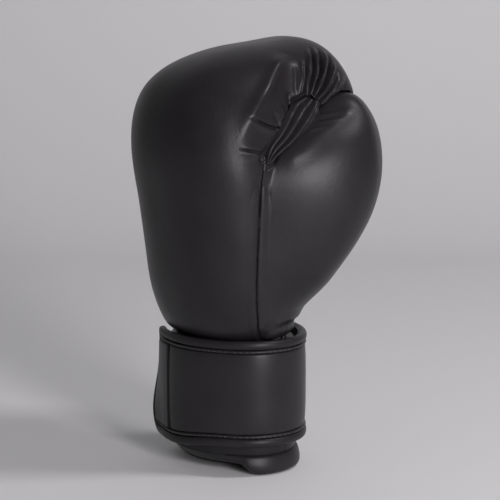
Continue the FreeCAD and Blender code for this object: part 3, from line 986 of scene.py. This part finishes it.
def make_hem():
    """The hem in two stretches that meet under the lobe's edge."""
    for name, start, end, flap, hinge in HEM_STRETCHES:
        hem = hem_roll(name, start, end)
        finish_piece(hem, "hem", [flap + "_hem", "cuff_back_hem"])
        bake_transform(hem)


def make_cuff():
    """The cuff's back and its two flaps, each with padding and lining."""
    stretches = (("cuff_back", "mitt", FLAP_HINGE + 0.35, 360 - FLAP_HINGE - 0.35),
                 ("little_finger_flap", "little_finger_flap", SLIT, FLAP_HINGE - 0.35),
                 ("thumb_side_flap", "thumb_side_flap", -FLAP_HINGE + 0.35, -SLIT))
    for prefix, body, start, end in stretches:
        pad = cuff_pad(prefix + "_pad", start, end)
        finish_piece(pad, "cuff_leather", [prefix + "_leather", prefix + "_foam"])
        lining = cuff_lining(prefix + "_inside", start, end)
        finish_piece(lining, "lining", [prefix + "_lining"])
        for obj in (pad, lining):
            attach(obj, body)
    make_hem()


def soft_lining(node, name):
    """The fabric inside the hand's or thumb's space, with slight folds."""
    obj = remeshed_nodes(name, [node], LINING_VOXEL)
    points = points_of(obj)
    points = points + normals_of(obj) * (0.25 * unevenness(points, 9, 5))[:, None]
    put_points(obj, points)
    shade_smooth(obj)
    return obj


# --- materials
class Surface:
    """A procedural material, wired up from textures over the piece's own coordinates."""

    def __init__(self, name):
        self.material = bpy.data.materials.new(name)
        self.material.use_nodes = True
        self.shader = self.material.node_tree.nodes["Principled BSDF"]
        self.place = self.node("TexCoord").outputs["Object"]

    def node(self, kind, **values):
        node = self.material.node_tree.nodes.new("ShaderNode" + kind)
        for key, value in values.items():
            if key in node.inputs:
                node.inputs[key].default_value = value
            else:
                setattr(node, key, value)
        return node

    def link(self, source, socket):
        self.material.node_tree.links.new(source, socket)

    def texture(self, kind, output="Fac", **values):
        node = self.node("Tex" + kind, **values)
        self.link(self.place, node.inputs["Vector"])
        return node.outputs[output]

    def mapped(self, source, low, high):
        """The source's 0 to 1 moved to low to high."""
        node = self.node("MapRange", **{"To Min": low, "To Max": high})
        self.link(source, node.inputs["Value"])
        return node.outputs["Result"]

    def summed(self, *terms):
        """The sum of (source, factor) terms."""
        total = None
        for source, factor in terms:
            node = self.node("Math", operation="MULTIPLY_ADD")
            self.link(source, node.inputs[0])
            node.inputs[1].default_value, node.inputs[2].default_value = factor, 0.0
            if total is not None:
                self.link(total, node.inputs[2])
            total = node.outputs[0]
        return total

    def set(self, name, value):
        self.shader.inputs[name].default_value = value

    def two_tone(self, source, dark, light):
        mixed = self.node("Mix", data_type="RGBA")
        self.link(source, mixed.inputs["Factor"])
        mixed.inputs["A"].default_value = (*dark, 1)
        mixed.inputs["B"].default_value = (*light, 1)
        self.link(mixed.outputs["Result"], self.shader.inputs["Base Color"])

    def rough(self, source):
        self.link(source, self.shader.inputs["Roughness"])

    def bumped(self, height, strength, distance_mm):
        bump = self.node("Bump", Strength=strength, Distance=distance_mm * MM)
        self.link(height, bump.inputs["Height"])
        self.link(bump.outputs["Normal"], self.shader.inputs["Normal"])


def leather(name, dark, light, roughness, grain_mm=1.1, grain=0.35, creased=0.5):
    """Coated leather: a pebbled grain, soft long creases, and slow changes of colour and gloss."""
    look = Surface(name)
    pebbles = look.texture("Voronoi", "Distance", Scale=1 / (grain_mm * MM), feature="SMOOTH_F1")
    pores = look.texture("Noise", Scale=2600.0, Detail=4.0)
    slow = look.texture("Noise", Scale=38.0, Detail=5.0, Roughness=0.6)
    cracks = look.texture("Noise", Scale=210.0, Detail=6.0, Roughness=0.65, Distortion=0.6)
    look.two_tone(look.mapped(slow, -0.4, 1.4), dark, light)
    look.rough(look.summed((look.mapped(slow, roughness - 0.07, roughness + 0.07), 1),
                           (look.mapped(pores, -0.05, 0.05), 1)))
    look.bumped(look.summed((pebbles, -grain), (pores, 0.12), (cracks, creased)), 0.5, 0.16)
    look.set("Specular IOR Level", 0.25)
    return look.material


def woven(name, dark, light, thread_mm=0.7, roughness=0.85):
    """A plain weave: raised threads both ways, with uneven colour."""
    look = Surface(name)
    waves = 1 / (thread_mm * MM) / WAVE_UNIT
    around = look.texture("Wave", Scale=waves, bands_direction="Z", Distortion=0.6)
    along = look.texture("Wave", Scale=waves, bands_direction="DIAGONAL", Distortion=0.6)
    fibres = look.texture("Noise", Scale=1900.0, Detail=5.0)
    slow = look.texture("Noise", Scale=55.0, Detail=4.0)
    threads = look.summed((around, 0.5), (along, 0.5))
    # painted shade: the thread waves that raise the weave in the bump also darken its colour in the low gaps
    # between threads; the slow noise is an uneven tone
    look.two_tone(look.summed((threads, 0.6), (slow, 0.5)), dark, light)
    look.rough(look.mapped(fibres, roughness - 0.1, roughness + 0.1))
    look.bumped(look.summed((threads, 1), (fibres, 0.4)), 0.8, 0.25)
    look.set("Sheen Weight", 0.15)
    return look.material


def pile(name, dark, light, cell_mm, height_mm):
    """Hook or loop tape, or open foam: many small raised tufts or cells."""
    look = Surface(name)
    tufts = look.texture("Voronoi", "Distance", Scale=1 / (cell_mm * MM), Randomness=0.9)
    fuzz = look.texture("Noise", Scale=1500.0, Detail=6.0)
    slow = look.texture("Noise", Scale=60.0, Detail=3.0)
    # painted shade: the colour darkens towards the low gaps between the tufts or cells, following the same texture
    # that lowers them in the bump; the slow noise is an uneven tone
    look.two_tone(look.summed((tufts, -0.7), (slow, 1.2)), dark, light)
    look.rough(look.mapped(fuzz, 0.75, 1.0))
    look.bumped(look.summed((tufts, -1.0), (fuzz, 0.5)), 1.0, height_mm)
    look.set("Sheen Weight", 0.2)
    return look.material


WAVE_UNIT = 6.2  # a wave texture's own repeat
LOOKS = {  # slot: kind, dark and light colour, then the kind's own values
    "leather": (leather, (0.013, 0.011, 0.013), (0.020, 0.018, 0.020), 0.37),
    "palm_leather": (leather, (0.013, 0.011, 0.013), (0.020, 0.018, 0.020), 0.38),
    "thumb_leather": (leather, (0.014, 0.013, 0.014), (0.022, 0.021, 0.022), 0.38),
    "cuff_leather": (leather, (0.011, 0.010, 0.011), (0.018, 0.017, 0.018), 0.38),
    "strap_leather": (leather, (0.014, 0.013, 0.014), (0.022, 0.020, 0.022),
                      0.38, 0.9, 0.25, 0.2),
    "binding": (leather, (0.011, 0.010, 0.011), (0.020, 0.018, 0.020),
                0.42, 0.9, 0.25, 0.5),
    "hem": (leather, (0.013, 0.012, 0.013), (0.022, 0.020, 0.022), 0.42, 1.0, 0.3, 0.8),
    "thread": (woven, (0.03, 0.029, 0.03), (0.07, 0.067, 0.07), 0.35, 0.7),
    "strap_lining": (woven, (0.006, 0.006, 0.0065), (0.02, 0.019, 0.02)),
    "lining": (woven, (0.006, 0.006, 0.0065), (0.022, 0.021, 0.022), 0.9),
    "foam": (pile, (0.03, 0.03, 0.031), (0.06, 0.06, 0.062), 0.8, 0.3),
    "inner_foam": (pile, (0.05, 0.05, 0.05), (0.09, 0.09, 0.09), 0.6, 0.2),
    "grip_bar": (pile, (0.03, 0.03, 0.03), (0.05, 0.05, 0.05), 0.9, 0.2),
    "hook_tape": (pile, (0.006, 0.006, 0.006), (0.02, 0.02, 0.02), 1.3, 0.9),
    "loop_tape": (pile, (0.01, 0.01, 0.01), (0.03, 0.03, 0.03), 0.9, 0.7),
    "patch": (leather, (0.016, 0.015, 0.016), (0.035, 0.033, 0.035),
              0.38, 1.4, 0.2, 1.2),
}
MATERIALS = {slot: kind(slot, *values) for slot, (kind, *values) in LOOKS.items()}


def finish_piece(obj, slot, nodes=()):
    """Gives a piece the material of its slot and hides the CAD nodes it stands for."""
    obj.data.materials.clear()
    obj.data.materials.append(MATERIALS[slot])
    if nodes:
        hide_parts(*nodes)


def dress_nodes():
    """Detailed materials for the CAD nodes that stay."""
    slots = {part["node"]: part["material_slot"] for part in frame["record"]["subparts"]}
    for name, node in NODES.items():
        node.data.materials.clear()
        node.data.materials.append(MATERIALS[slots[name]])


def palm_panel(obj):
    """The palm's own piece of leather, cut from the mitt's skin along the palm seam."""
    centres = face_centres(obj)
    on_palm = (palm_seam(centres) < 0) & (centres[:, 2] > 91) & (centres[:, 0] > PALM_X)
    panel = added("palm_leather", obj.data.copy())
    drop_faces(panel, ~on_palm)
    drop_faces(obj, on_palm)
    shade_smooth(panel)
    shade_smooth(obj)
    return panel


def make_glove():
    mitt = make_mitt()
    thumb = make_thumb()
    web = make_web(BVHTree.FromPolygons(*geometry_of(mitt)))
    mitt_foam = foam_under(mitt, "mitt_foam")
    thumb_foam = foam_under(thumb, "thumb_foam")
    palm = palm_panel(mitt)
    hand_fabric = soft_lining("hand_lining", "hand_lining_fabric")
    thumb_fabric = soft_lining("thumb_lining", "thumb_lining_fabric")
    pieces = (
        (mitt, "leather", "mitt", ["mitt_back_leather"]),
        (palm, "palm_leather", "mitt", ["mitt_palm_leather"]),
        (mitt_foam, "foam", "mitt", ["knuckle_foam_outer", "back_foam_outer", "palm_foam"]),
        (hand_fabric, "lining", "mitt", ["hand_lining"]),
        (thumb, "thumb_leather", "thumb", ["thumb_outer_leather", "thumb_inner_leather"]),
        (thumb_foam, "foam", "thumb", THUMB_FOAM),
        (thumb_fabric, "lining", "thumb", ["thumb_lining"]),
        (web, "thumb_leather", "mitt", ["thumb_web"]),
    )
    for obj, slot, body, nodes in pieces:
        shade_smooth(obj)
        finish_piece(obj, slot, nodes)
        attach(obj, body)


dress_nodes()
make_glove()
make_seam_edges()
make_cuff()
make_strap()
make_tab_tapes()


# --- camera, light and ground, in metres
CAMERA_DISTANCE = 1.2
CAMERA_HEIGHT = 0.33
AIM_HEIGHT = 0.148
AIM_RIGHT = 0.012
VIEW_WIDTH = 0.3472  # across the picture at the aim point
SOFTBOXES = [  # name, place, aim, size, watts, colour
    ("key", (-0.26, -1.88, 0.55), (0, 0, 0.15), (0.4, 0.9), 26, (1, 0.96, 1)),
    ("crest_light", (0.66, -0.73, 1.51), (-0.02, -0.05, 0.24), (0.3, 0.3), 8, (1, 0.97, 1)),
    ("backdrop_light", (0.3, 0.45, 1.5), (0.9, 1.3, 0.9), (2.5, 0.8), 0.2, (1, 1, 1)),
]
SKY_COLOUR = (0.5, 0.5, 0.502, 1)
SKY_STRENGTH = 0.3


def aimed(obj, place, aim):
    obj.location = place
    obj.rotation_euler = (aim - place).to_track_quat("-Z", "Y").to_euler()
    return obj


def add_camera():
    forward = Vector((-CAMERA_RIGHT[1], CAMERA_RIGHT[0], 0))
    aim = Vector(CAMERA_RIGHT) * AIM_RIGHT + Vector((0, 0, AIM_HEIGHT))
    place = aim - forward * CAMERA_DISTANCE
    place.z = CAMERA_HEIGHT
    data = bpy.data.cameras.new("camera")
    data.sensor_width = 36
    data.lens = data.sensor_width * (aim - place).length / VIEW_WIDTH
    data.clip_end = 20
    bpy.context.scene.camera = aimed(added("camera", data), place, aim)


def add_softbox(name, place, aim, size, watts, colour):
    data = bpy.data.lights.new(name, "AREA")
    data.shape = "RECTANGLE"
    data.size, data.size_y = size
    data.energy = watts
    data.color = colour
    aimed(added(name, data), Vector(place), Vector(aim))


def add_ground():
    """A pale floor that turns up into a backdrop behind the glove, as seen from the camera."""
    profile = [(-3.0, 0.0), (0.9, 0.0)]
    profile += [(0.9 + 0.5 * math.sin(a), 0.5 - 0.5 * math.cos(a))
                for a in np.linspace(0.1, math.pi / 2, 14)]
    profile += [(1.4, 3.0)]
    points = [(x, y, z) for y, z in profile for x in (-4, 4)]
    faces = [(i, i + 1, i + 3, i + 2) for i in range(0, len(points) - 2, 2)]
    ground = new_piece("ground", np.array(points) / MM, faces)
    ground.rotation_euler = (0, 0, CAMERA_AZIMUTH)
    shade_smooth(ground)
    paper = Surface("studio_paper")
    paper.set("Base Color", (0.86, 0.86, 0.865, 1))
    paper.set("Roughness", 0.8)
    ground.data.materials.append(paper.material)


add_camera()
add_ground()
for softbox in SOFTBOXES:
    add_softbox(*softbox)
world = bpy.data.worlds.new("studio")
world.use_nodes = True
sky = world.node_tree.nodes["Background"].inputs
sky[0].default_value, sky[1].default_value = SKY_COLOUR, SKY_STRENGTH
bpy.context.scene.world = world
bpy.context.scene.view_settings.view_transform = "Standard"
